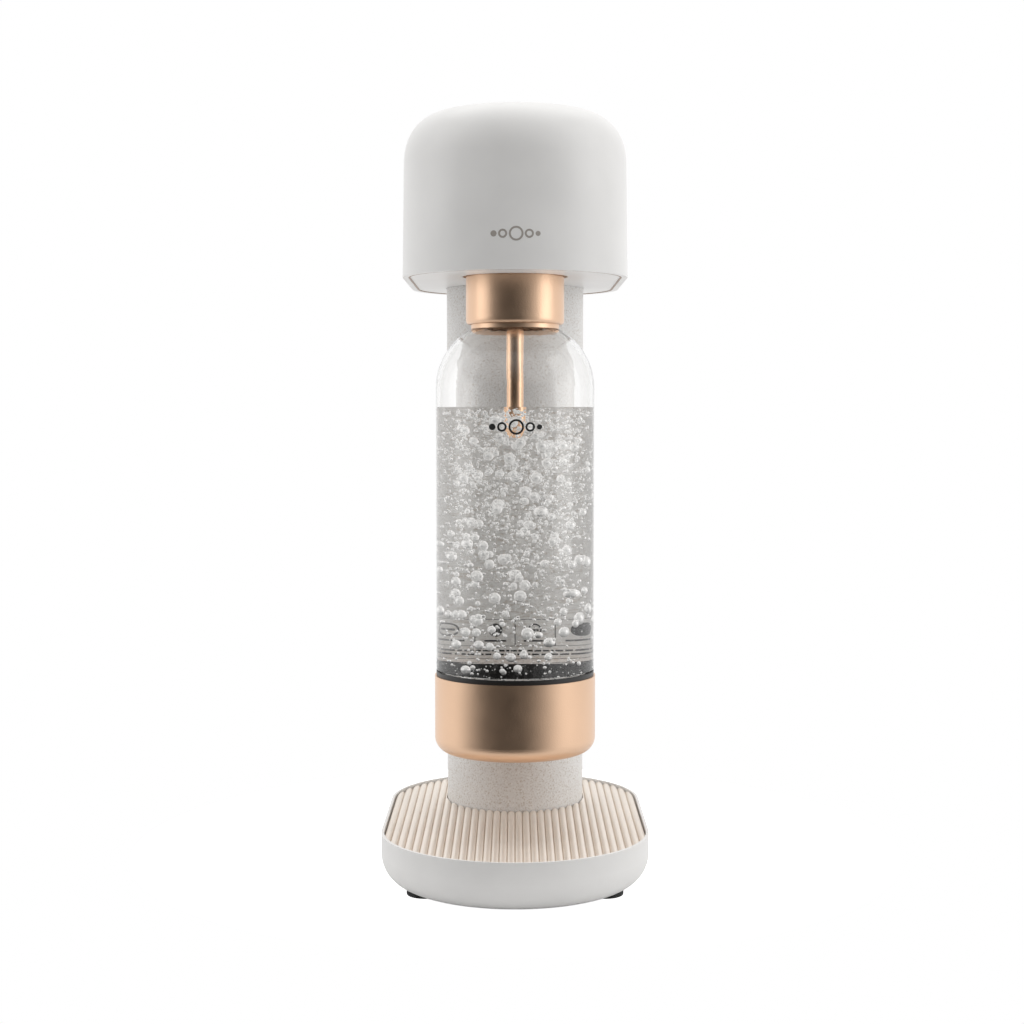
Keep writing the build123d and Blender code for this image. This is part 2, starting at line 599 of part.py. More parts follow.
with BuildPart() as valve_block:
    with Locations((0, PILLAR_Y, CHASSIS_TOP_Z)):
        Cylinder(
            VALVE_BLOCK_R,
            VALVE_BLOCK_TOP_Z - CHASSIS_TOP_Z,
            align=(Align.CENTER, Align.CENTER, Align.MIN),
        )
    fillet(valve_block.faces().sort_by(Axis.Z)[-1].edges(), 2.0)
    with Locations((0, PILLAR_Y, CHASSIS_TOP_Z)):
        Cylinder(BLOCK_FOOT_R, FOOT_PLATE, align=(Align.CENTER, Align.CENTER, Align.MIN))
        Cylinder(
            VALVE_THREAD_R + 2 * SHAFT_GAP,
            VALVE_BORE_TOP_Z - CHASSIS_TOP_Z,
            align=(Align.CENTER, Align.CENTER, Align.MIN),
            mode=Mode.SUBTRACT,
        )
        Cylinder(
            PLUNGER_R + SHAFT_GAP,
            VALVE_BLOCK_TOP_Z - CHASSIS_TOP_Z,
            align=(Align.CENTER, Align.CENTER, Align.MIN),
            mode=Mode.SUBTRACT,
        )
    with Locations(*[(x, y, CHASSIS_TOP_Z) for x, y, _ in BLOCK_SCREW_SPOTS]):
        Cylinder(M3_R, 3 * FOOT_PLATE, mode=Mode.SUBTRACT)
    with Locations(Plane(origin=(0, PILLAR_Y, PORT_Z), z_dir=(0, -1, 0))):
        Cylinder(
            PORT_R,
            VALVE_BLOCK_R + 1.0,
            align=(Align.CENTER, Align.CENTER, Align.MIN),
            mode=Mode.SUBTRACT,
        )
export(valve_block, "valve_block")

with BuildPart() as valve_seal:
    with BuildSketch(Plane.XY.offset(VALVE_TOP_Z + SEAL_GAP)):
        ring_outline(PILLAR_Y, VALVE_THREAD_R, PLUNGER_R + 0.5)
    extrude(amount=VALVE_BORE_TOP_Z - VALVE_TOP_Z - SEAL_GAP)
export(valve_seal, "valve_seal")

with BuildPart() as chassis_screws:
    with Locations(*BLOCK_SCREW_SPOTS, *BRACKET_SCREW_SPOTS):
        pan_screw(FOOT_PLATE + CHASSIS)
export(chassis_screws, "chassis_screws")

with BuildPart() as plunger:
    with Locations((0, PILLAR_Y, PLUNGER_LOW_Z)):
        Cylinder(
            PLUNGER_R,
            PLUNGER_TOP_Z - PLUNGER_LOW_Z,
            align=(Align.CENTER, Align.CENTER, Align.MIN),
        )
    with Locations((0, PILLAR_Y, PLUNGER_TOP_Z)):
        Cylinder(PLUNGER_HEAD_R, PLUNGER_HEAD, align=(Align.CENTER, Align.CENTER, Align.MAX))
export(plunger, "plunger")

with BuildPart() as plunger_spring:
    coil(PILLAR_Y, PLUNGER_R + 1.3, 0.3, VALVE_BLOCK_TOP_Z, PLUNGER_TOP_Z - PLUNGER_HEAD, 3)
export(plunger_spring, "plunger_spring")

with BuildPart() as lever:
    with BuildSketch(Plane.YZ.offset(-LEVER_HALF_WIDTH)):
        with BuildLine():
            Polyline(
                (LEVER_Y, LEVER_TOP_Z),
                (BUTTON_Y - 6.0, LEVER_TOP_Z),
                (BUTTON_Y - 6.0, LEVER_TOP_Z - LEVER_THICK),
                (LEVER_Y, LEVER_TOP_Z - LEVER_THICK),
            )
            ThreePointArc(
                (LEVER_Y, LEVER_TOP_Z - LEVER_THICK),
                (LEVER_Y + LEVER_THICK / 2, LEVER_Z),
                (LEVER_Y, LEVER_TOP_Z),
            )
        make_face()
    extrude(amount=2 * LEVER_HALF_WIDTH)
    plunger_pad_z = LEVER_TOP_Z - LEVER_THICK - LEVER_PAD_DEPTH + LEVER_PAD_R
    button_pad_z = LEVER_TOP_Z + LEVER_PAD_DEPTH - LEVER_PAD_R
    for pad_y, pad_z in ((PILLAR_Y, plunger_pad_z), (BUTTON_Y, button_pad_z)):
        with Locations(Plane(origin=(0, pad_y, pad_z), z_dir=(1, 0, 0))):
            Cylinder(LEVER_PAD_R, 2 * LEVER_HALF_WIDTH)
    with Locations(Plane(origin=(0, LEVER_Y, LEVER_Z), z_dir=(1, 0, 0))):
        Cylinder(LEVER_PIN_R + SHAFT_GAP, 3 * LEVER_HALF_WIDTH, mode=Mode.SUBTRACT)
export(lever, "lever")

with BuildPart() as lever_bracket:
    with Locations((0, LEVER_Y - EAR_HALF_DEPTH, CHASSIS_TOP_Z)):
        Box(
            2 * BRACKET_HALF_WIDTH,
            4 * EAR_HALF_DEPTH,
            BRACKET_PLATE,
            align=(Align.CENTER, Align.MIN, Align.MIN),
        )
    for side in (-1, 1):
        with Locations((side * (EAR_INNER_X + EAR / 2), LEVER_Y, CHASSIS_TOP_Z)):
            Box(
                EAR,
                2 * EAR_HALF_DEPTH,
                LEVER_Z + EAR_HALF_DEPTH - CHASSIS_TOP_Z,
                align=(Align.CENTER, Align.CENTER, Align.MIN),
            )
    with Locations((0, PILLAR_Y, CHASSIS_TOP_Z)):
        Cylinder(BLOCK_FOOT_R + 0.5, 3 * BRACKET_PLATE, mode=Mode.SUBTRACT)
    with Locations(Plane(origin=(0, LEVER_Y, LEVER_Z), z_dir=(1, 0, 0))):
        Cylinder(LEVER_PIN_R, 6 * LEVER_HALF_WIDTH, mode=Mode.SUBTRACT)
    with Locations(*BRACKET_SCREW_SPOTS):
        Cylinder(M3_R, 3 * BRACKET_PLATE, mode=Mode.SUBTRACT)
export(lever_bracket, "lever_bracket")

with BuildPart() as lever_pin:
    with Locations(Plane(origin=(0, LEVER_Y, LEVER_Z), z_dir=(1, 0, 0))):
        Cylinder(LEVER_PIN_R, 2 * (EAR_INNER_X + EAR) + 2.0)
export(lever_pin, "lever_pin")

# ---------------------------------------------------------------- push button
BUTTON_PROUD = 1.5
BUTTON_CAP = 5.0
BUTTON_CARRIER = 4.0
BUTTON_TOP_Z = HEAD_TOP_Z + BUTTON_PROUD
CARRIER_Z = BUTTON_TOP_Z - BUTTON_CAP - BUTTON_CARRIER
STEM_R = 5.0
STEM_Z = LEVER_TOP_Z + LEVER_PAD_DEPTH + LEVER_GAP
GUIDE_R = BUTTON_OPENING_R + 2.0
GUIDE_FLOOR = 2.5
GUIDE_TOP_Z = HEAD_TOP_Z - HEAD_WALL
SLEEVE_R = 7.5
SLEEVE_HEIGHT = 8.0
SLEEVE_GAP = 2.0  # left under the button when it is pressed
GUIDE_Z = CARRIER_Z - BUTTON_TRAVEL - SLEEVE_GAP - SLEEVE_HEIGHT
BUTTON_SPRING_R = 10.5
BUTTON_WIRE_R = 0.6

with BuildPart() as button_cap:
    with Locations((0, BUTTON_Y, BUTTON_TOP_Z)):
        Cylinder(BUTTON_R, BUTTON_CAP, align=(Align.CENTER, Align.CENTER, Align.MAX))
    fillet(button_cap.faces().sort_by(Axis.Z)[-1].edges(), 1.2)
export(button_cap, "button_cap")

with BuildPart() as button_stem:
    with Locations((0, BUTTON_Y, CARRIER_Z)):
        Cylinder(BUTTON_R - 0.5, BUTTON_CARRIER, align=(Align.CENTER, Align.CENTER, Align.MIN))
    with Locations((0, BUTTON_Y, STEM_Z)):
        Cylinder(STEM_R, CARRIER_Z - STEM_Z, align=(Align.CENTER, Align.CENTER, Align.MIN))
export(button_stem, "button_stem")

with BuildPart() as button_guide:
    with Locations((0, BUTTON_Y, GUIDE_Z)):
        Cylinder(GUIDE_R, GUIDE_TOP_Z - GUIDE_Z, align=(Align.CENTER, Align.CENTER, Align.MIN))
    with Locations((0, BUTTON_Y, GUIDE_TOP_Z)):
        Cylinder(GUIDE_R + 4.0, 2.0, align=(Align.CENTER, Align.CENTER, Align.MAX))
    with Locations((0, BUTTON_Y, GUIDE_Z + GUIDE_FLOOR)):
        Cylinder(
            BUTTON_OPENING_R,
            HEAD_HEIGHT,
            align=(Align.CENTER, Align.CENTER, Align.MIN),
            mode=Mode.SUBTRACT,
        )
    with Locations((0, BUTTON_Y, GUIDE_Z)):
        Cylinder(SLEEVE_R, SLEEVE_HEIGHT, align=(Align.CENTER, Align.CENTER, Align.MIN))
        Cylinder(STEM_R + SHAFT_GAP, HEAD_HEIGHT, mode=Mode.SUBTRACT)
export(button_guide, "button_guide")

with BuildPart() as button_spring:
    coil(BUTTON_Y, BUTTON_SPRING_R, BUTTON_WIRE_R, GUIDE_Z + GUIDE_FLOOR, CARRIER_Z, 4)
export(button_spring, "button_spring")

# ================================================================ nozzle, collar and lock ring
COLLAR_Z = HEAD_Z - COLLAR_DROP
COLLAR_FLANGE_R = 33.0
COLLAR_FLANGE = 2.0
COLLAR_BORE_R = COLLAR_R - COLLAR_WALL
COLLAR_LIP_R = NECK_RING_R + 0.35
COLLAR_LIP = 4.5
COLLAR_EDGE = 3.0
RIM_GAP = 0.1
BOTTLE_TOP_Z = HEAD_Z - 5.0
GASKET_Z = BOTTLE_TOP_Z + RIM_GAP
NOZZLE_BLOCK_Z = HEAD_Z - 2.5
NOZZLE_FLANGE_R = 31.0
NOZZLE_TOWER_R = 18.0
NOZZLE_BLOCK_TOP_Z = CHASSIS_TOP_Z + 17.0
NOZZLE_ROOT_Z = CHASSIS_TOP_Z + 1.0
NOZZLE_BORE_R = 2.0
NOZZLE_TIP_Z = HEAD_Z - NOZZLE_DROP
NOZZLE_TIP = 6.0
LOCK_RING_R = COLLAR_BORE_R - TURN_GAP
LOCK_BORE_R = 20.6
LOCK_RING_Z = COLLAR_Z + COLLAR_LIP + TURN_GAP
LOCK_RING_TOP_Z = NOZZLE_BLOCK_Z - 0.6
LUG_WIDTH = 6.0
LUG_GAP = 0.5
LUG_R = LOCK_BORE_R + 1.8
LUG_HEIGHT = 6.0
NECK_SLEEVE_R = LOCK_BORE_R - 0.4
NECK_RING_Z = HEAD_Z - 27.2
NECK_FLANGE = 6.5
LUG_Z = NECK_RING_Z + NECK_FLANGE + 4.0

with BuildPart() as nozzle_block:
    with Locations((0, BOTTLE_Y, NOZZLE_BLOCK_Z)):
        Cylinder(
            NOZZLE_BLOCK_R,
            CHASSIS_TOP_Z - NOZZLE_BLOCK_Z,
            align=(Align.CENTER, Align.CENTER, Align.MIN),
        )
    with Locations((0, BOTTLE_Y, CHASSIS_TOP_Z)):
        Cylinder(NOZZLE_FLANGE_R, FOOT_PLATE, align=(Align.CENTER, Align.CENTER, Align.MIN))
        Cylinder(
            NOZZLE_TOWER_R,
            NOZZLE_BLOCK_TOP_Z - CHASSIS_TOP_Z,
            align=(Align.CENTER, Align.CENTER, Align.MIN),
        )
        Cylinder(NOZZLE_BORE_R, HEAD_HEIGHT, mode=Mode.SUBTRACT)
    with Locations((0, BOTTLE_Y, NOZZLE_ROOT_Z)):
        Cylinder(
            NOZZLE_R,
            NOZZLE_ROOT_Z - NOZZLE_BLOCK_Z,
            align=(Align.CENTER, Align.CENTER, Align.MAX),
            mode=Mode.SUBTRACT,
        )
    with Locations(*[(x, y, CHASSIS_TOP_Z) for x, y, _ in NOZZLE_SCREW_SPOTS]):
        Cylinder(M3_R, 3 * FOOT_PLATE, mode=Mode.SUBTRACT)
    with Locations(Plane(origin=(0, BOTTLE_Y, PORT_Z), z_dir=(0, 1, 0))):
        Cylinder(
            PORT_R,
            NOZZLE_TOWER_R + 1.0,
            align=(Align.CENTER, Align.CENTER, Align.MIN),
            mode=Mode.SUBTRACT,
        )
export(nozzle_block, "nozzle_block")

with BuildPart() as nozzle_screws:
    with Locations(*NOZZLE_SCREW_SPOTS):
        pan_screw(FOOT_PLATE + CHASSIS + COLLAR_FLANGE)
export(nozzle_screws, "nozzle_screws")

with BuildPart() as nozzle_tube:
    with BuildSketch(Plane.XY.offset(NOZZLE_TIP_Z + NOZZLE_TIP)):
        ring_outline(BOTTLE_Y, NOZZLE_R, NOZZLE_BORE_R)
    extrude(amount=NOZZLE_ROOT_Z - NOZZLE_TIP_Z - NOZZLE_TIP)
export(nozzle_tube, "nozzle_tube")

with BuildPart() as nozzle_tip:
    with BuildSketch(Plane.XZ.offset(-BOTTLE_Y)):
        Polygon(
            (0.5, NOZZLE_TIP_Z),
            (2.4, NOZZLE_TIP_Z),
            (NOZZLE_R, NOZZLE_TIP_Z + NOZZLE_TIP - 1.0),
            (NOZZLE_R, NOZZLE_TIP_Z + NOZZLE_TIP),
            (0.5, NOZZLE_TIP_Z + NOZZLE_TIP),
            align=None,
        )
    revolve(axis=Axis((0, BOTTLE_Y, 0), (0, 0, 1)))
export(nozzle_tip, "nozzle_tip")

with BuildPart() as bottle_gasket:
    with BuildSketch(Plane.XY.offset(GASKET_Z)):
        ring_outline(BOTTLE_Y, NECK_R + 2.0, NECK_R - NECK_WALL - 2.0)
    extrude(amount=NOZZLE_BLOCK_Z - GASKET_Z)
export(bottle_gasket, "bottle_gasket")

with BuildPart() as collar:
    with BuildSketch(Plane.XZ.offset(-BOTTLE_Y)):
        with BuildLine():
            Polyline(
                (COLLAR_R - COLLAR_EDGE * 0.6, COLLAR_Z),
                (COLLAR_LIP_R, COLLAR_Z),
                (COLLAR_LIP_R, COLLAR_Z + COLLAR_LIP),
                (COLLAR_BORE_R, COLLAR_Z + COLLAR_LIP),
                (COLLAR_BORE_R, CHASSIS_Z),
                (COLLAR_FLANGE_R, CHASSIS_Z),
                (COLLAR_FLANGE_R, CHASSIS_Z - COLLAR_FLANGE),
                (COLLAR_R, CHASSIS_Z - COLLAR_FLANGE),
                (COLLAR_R, COLLAR_Z + COLLAR_EDGE),
            )
            Spline(
                (COLLAR_R, COLLAR_Z + COLLAR_EDGE),
                (COLLAR_R - COLLAR_EDGE * 0.6, COLLAR_Z),
                tangents=[(0, -1), (-1, 0)],
            )
        make_face()
    revolve(axis=Axis((0, BOTTLE_Y, 0), (0, 0, 1)))
    with Locations(*[(x, y, CHASSIS_Z) for x, y, _ in NOZZLE_SCREW_SPOTS]):
        Cylinder(M3_R, 3 * COLLAR_FLANGE, mode=Mode.SUBTRACT)
export(collar, "collar")


def lug_bars(width, reach, mode=Mode.ADD):
    """Three bars out from the bottle axis, a third of a turn apart."""
    with Locations(*[Location((0, BOTTLE_Y, 0), (0, 0, angle)) for angle in LUG_ANGLES]):
        Rectangle(reach, width, align=(Align.MIN, Align.CENTER), mode=mode)


with BuildPart() as lock_ring:
    with BuildSketch(Plane.XY.offset(LOCK_RING_Z)):
        ring_outline(BOTTLE_Y, LOCK_RING_R, LOCK_BORE_R)
        lug_bars(LUG_WIDTH + 2 * LUG_GAP, LUG_R + 0.4, mode=Mode.SUBTRACT)
    extrude(amount=LOCK_RING_TOP_Z - LOCK_RING_Z)
export(lock_ring, "lock_ring")

# ---------------------------------------------------------------- relief valve on the nozzle block
RELIEF_R = 8.0
RELIEF_BORE_R = 5.0
RELIEF_HEIGHT = 14.0
POPPET_HEIGHT = 3.5
RELIEF_TOP_Z = NOZZLE_BLOCK_TOP_Z + RELIEF_HEIGHT
RELIEF_PLUG = 3.0
POPPET_TOP_Z = NOZZLE_BLOCK_TOP_Z + POPPET_HEIGHT

with BuildPart() as relief_body:
    with BuildSketch(Plane.XY.offset(NOZZLE_BLOCK_TOP_Z)):
        ring_outline(BOTTLE_Y, RELIEF_R, RELIEF_BORE_R)
    extrude(amount=RELIEF_HEIGHT)
    with Locations(Plane(origin=(0, BOTTLE_Y, POPPET_TOP_Z + 3.0), z_dir=(1, 0, 0))):
        Cylinder(1.2, 3 * RELIEF_R, mode=Mode.SUBTRACT)
export(relief_body, "relief_body")

with BuildPart() as relief_poppet:
    with Locations((0, BOTTLE_Y, POPPET_TOP_Z)):
        Cylinder(
            RELIEF_BORE_R - 2 * SHAFT_GAP + 0.02,
            POPPET_HEIGHT - 0.05,
            align=(Align.CENTER, Align.CENTER, Align.MAX),
        )
export(relief_poppet, "relief_poppet")

with BuildPart() as relief_spring:
    coil(BOTTLE_Y, RELIEF_BORE_R - 1.2, 0.4, POPPET_TOP_Z, RELIEF_TOP_Z - RELIEF_PLUG, 3)
export(relief_spring, "relief_spring")

with BuildPart() as relief_cap:
    with Locations((0, BOTTLE_Y, RELIEF_TOP_Z)):
        Cylinder(RELIEF_BORE_R, RELIEF_PLUG, align=(Align.CENTER, Align.CENTER, Align.MAX))
    with BuildSketch(Plane.XY.offset(RELIEF_TOP_Z)):
        with Locations((0, BOTTLE_Y)):
            RegularPolygon(RELIEF_R, 6)
    extrude(amount=3.0)
export(relief_cap, "relief_cap")

# ---------------------------------------------------------------- gas tube between the two blocks
FITTING_HEX_R = 4.5
FITTING_HEX = 4.0
BARB = 7.0
TUBE_WALL = 1.4
TUBE_SWAY = 7.0
VALVE_PORT_Y = PILLAR_Y - VALVE_BLOCK_R
NOZZLE_PORT_Y = BOTTLE_Y + NOZZLE_TOWER_R
TUBE_START_Y = VALVE_PORT_Y - FITTING_HEX
TUBE_END_Y = NOZZLE_PORT_Y + FITTING_HEX
FITTING_ROOT = 2.0

with BuildPart() as tube_fittings:
    for port_y, way in ((VALVE_PORT_Y, -1), (NOZZLE_PORT_Y, 1)):
        with BuildSketch(Plane(origin=(0, port_y, PORT_Z), x_dir=(1, 0, 0), z_dir=(0, way, 0))):
            RegularPolygon(FITTING_HEX_R, 6)
        extrude(amount=FITTING_HEX)
        with Locations(Plane(origin=(0, port_y - way * FITTING_ROOT, PORT_Z), z_dir=(0, way, 0))):
            Cylinder(
                PORT_R,
                FITTING_ROOT + FITTING_HEX + BARB,
                align=(Align.CENTER, Align.CENTER, Align.MIN),
            )
            Cylinder(1.0, 4 * BARB, mode=Mode.SUBTRACT)
export(tube_fittings, "tube_fittings")

with BuildPart() as gas_tube:
    with BuildLine():
        middle_y = (TUBE_START_Y + TUBE_END_Y) / 2
        tube_route = Spline(
            (0, TUBE_START_Y, PORT_Z),
            (0, TUBE_START_Y - BARB, PORT_Z),
            (TUBE_SWAY, middle_y, PORT_Z),
            (0, TUBE_END_Y + BARB, PORT_Z),
            (0, TUBE_END_Y, PORT_Z),
            tangents=[(0, -1, 0), (0, -1, 0)],
        )
    with BuildSketch(Plane(origin=(0, TUBE_START_Y, PORT_Z), z_dir=(0, -1, 0))):
        Circle(PORT_R + TUBE_WALL)
    sweep(path=tube_route)
    with BuildSketch(Plane(origin=(0, TUBE_START_Y, PORT_Z), z_dir=(0, -1, 0))):
        Circle(PORT_R)
    sweep(path=tube_route, mode=Mode.SUBTRACT)
export(gas_tube, "gas_tube")

# ================================================================ bottle
CUP_R = BOTTLE_R + CUP_WALL
CUP_FLOOR = 1.2
CUP_TOP_Z = CUP_Z + CUP_HEIGHT
LINER_PROUD = 2.4
SHOULDER_Z = HEAD_Z - SHOULDER_DROP
GLASS_FLOOR = 3.0
GLASS_AXIS = Axis((0, BOTTLE_Y, 0), (0, 0, 1))


def cup_outline(radius, floor_z, top_z, edge_r):
    """Half section of a plain cup form, rounded at its foot."""
    with BuildSketch(Plane.XZ.offset(-BOTTLE_Y)) as half:
        with BuildLine():
            Line((0, floor_z), (radius - edge_r, floor_z))
            ThreePointArc(
                (radius - edge_r, floor_z),
                (radius - edge_r + edge_r * sin(pi / 4), floor_z + edge_r - edge_r * cos(pi / 4)),
                (radius, floor_z + edge_r),
            )
            Polyline((radius, floor_z + edge_r), (radius, top_z), (0, top_z), (0, floor_z))
        make_face()
    return half.sketch


def bottle_outline(inset, floor_z, neck_r, foot_r):
    """Half section of the bottle's form: foot in the cup, wall, round shoulder and neck."""
    radius = BOTTLE_R - inset
    foot = BOTTLE_R - LINER - inset
    centre_r = BOTTLE_R - SHOULDER_R
    arc_r = SHOULDER_R - inset
    neck_z = SHOULDER_Z + (arc_r**2 - (neck_r - centre_r) ** 2) ** 0.5
    mid = radians(40)
    with BuildSketch(Plane.XZ.offset(-BOTTLE_Y)) as half:
        with BuildLine():
            Line((0, floor_z), (foot - foot_r, floor_z))
            ThreePointArc(
                (foot - foot_r, floor_z),
                (foot - foot_r + foot_r * sin(pi / 4), floor_z + foot_r - foot_r * cos(pi / 4)),
                (foot, floor_z + foot_r),
            )
            Polyline(
                (foot, floor_z + foot_r),
                (foot, CUP_TOP_Z),
                (foot, CUP_TOP_Z + LINER_PROUD),
                (radius, CUP_TOP_Z + LINER_PROUD + LINER),
                (radius, SHOULDER_Z),
            )
            ThreePointArc(
                (radius, SHOULDER_Z),
                (centre_r + arc_r * cos(mid), SHOULDER_Z + arc_r * sin(mid)),
                (neck_r, neck_z),
            )
            Polyline((neck_r, neck_z), (neck_r, BOTTLE_TOP_Z), (0, BOTTLE_TOP_Z), (0, floor_z))
        make_face()
    return half.sketch


LINER_EDGE_R = CUP_EDGE_R - CUP_WALL
GLASS_EDGE_R = LINER_EDGE_R - LINER
LINER_Z = CUP_Z + CUP_FLOOR
GLASS_Z = LINER_Z + LINER

with BuildPart() as base_cup:
    revolve(cup_outline(CUP_R, CUP_Z, CUP_TOP_Z, CUP_EDGE_R), axis=GLASS_AXIS)
    revolve(cup_outline(BOTTLE_R, LINER_Z, CUP_TOP_Z, LINER_EDGE_R), axis=GLASS_AXIS, mode=Mode.SUBTRACT)
export(base_cup, "base_cup")

with BuildPart() as cup_liner:
    revolve(
        cup_outline(BOTTLE_R, LINER_Z, CUP_TOP_Z + LINER_PROUD, LINER_EDGE_R),
        axis=GLASS_AXIS,
    )
    revolve(
        cup_outline(BOTTLE_R - LINER, GLASS_Z, CUP_TOP_Z + LINER_PROUD, GLASS_EDGE_R),
        axis=GLASS_AXIS,
        mode=Mode.SUBTRACT,
    )
export(cup_liner, "cup_liner")

with BuildPart() as bottle_body:
    revolve(bottle_outline(0, GLASS_Z, NECK_R, GLASS_EDGE_R), axis=GLASS_AXIS)
    revolve(
        bottle_outline(GLASS, GLASS_Z + GLASS_FLOOR, NECK_R - NECK_WALL, GLASS_EDGE_R - 1.0),
        axis=GLASS_AXIS,
        mode=Mode.SUBTRACT,
    )
    fillet(bottle_body.edges().group_by(Axis.Z)[-1], 0.8)
export(bottle_body, "bottle_body")

with BuildPart() as neck_ring:
    with Locations((0, BOTTLE_Y, NECK_RING_Z)):
        Cylinder(NECK_RING_R, NECK_FLANGE, align=(Align.CENTER, Align.CENTER, Align.MIN))
    fillet(neck_ring.faces().sort_by(Axis.Z)[-1].edges(), 0.6)
    with Locations((0, BOTTLE_Y, NECK_RING_Z)):
        Cylinder(
            NECK_SLEEVE_R,
            LUG_Z + LUG_HEIGHT + 2.0 - NECK_RING_Z,
            align=(Align.CENTER, Align.CENTER, Align.MIN),
        )
    with BuildSketch(Plane.XY.offset(LUG_Z)):
        lug_bars(LUG_WIDTH, LUG_R)
        with Locations((0, BOTTLE_Y)):
            Circle(LUG_R, mode=Mode.INTERSECT)
    extrude(amount=LUG_HEIGHT)
    revolve(bottle_outline(0, GLASS_Z, NECK_R, GLASS_EDGE_R), axis=GLASS_AXIS, mode=Mode.SUBTRACT)
export(neck_ring, "neck_ring")
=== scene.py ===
"""Sparkling water maker: finishes, water, bubbles, printed marks and a plain studio, set on the CAD frame."""

import json
import logging
import math
import random
from dataclasses import dataclass, field
from enum import Enum
from typing import Sequence

import bpy
from mathutils import Matrix, Vector


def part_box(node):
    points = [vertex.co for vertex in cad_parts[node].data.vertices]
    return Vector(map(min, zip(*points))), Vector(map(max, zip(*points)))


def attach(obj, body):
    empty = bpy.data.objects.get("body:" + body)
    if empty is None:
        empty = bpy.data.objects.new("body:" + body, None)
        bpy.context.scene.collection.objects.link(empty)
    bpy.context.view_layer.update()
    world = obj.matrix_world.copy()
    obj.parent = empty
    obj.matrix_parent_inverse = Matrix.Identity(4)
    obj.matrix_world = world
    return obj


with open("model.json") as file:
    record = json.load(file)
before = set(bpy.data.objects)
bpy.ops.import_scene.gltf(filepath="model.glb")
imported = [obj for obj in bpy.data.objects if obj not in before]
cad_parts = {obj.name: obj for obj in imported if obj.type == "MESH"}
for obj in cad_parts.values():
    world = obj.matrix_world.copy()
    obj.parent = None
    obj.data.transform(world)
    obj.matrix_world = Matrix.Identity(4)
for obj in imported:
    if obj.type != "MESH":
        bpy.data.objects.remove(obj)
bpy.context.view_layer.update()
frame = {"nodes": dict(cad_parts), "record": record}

log = logging.getLogger("soda_maker")
MM = 0.001
Colour = tuple[float, float, float]
Point = tuple[float, float, float]


class Body(str, Enum):
    """The moving bodies that new pieces ride on."""

    STAND = "stand"
    BOTTLE = "bottle"


class Facing(Enum):
    """The side of a round wall that a print is laid on."""

    FRONT = -1
    BACK = 1


# ---------------------------------------------------------------- finishes


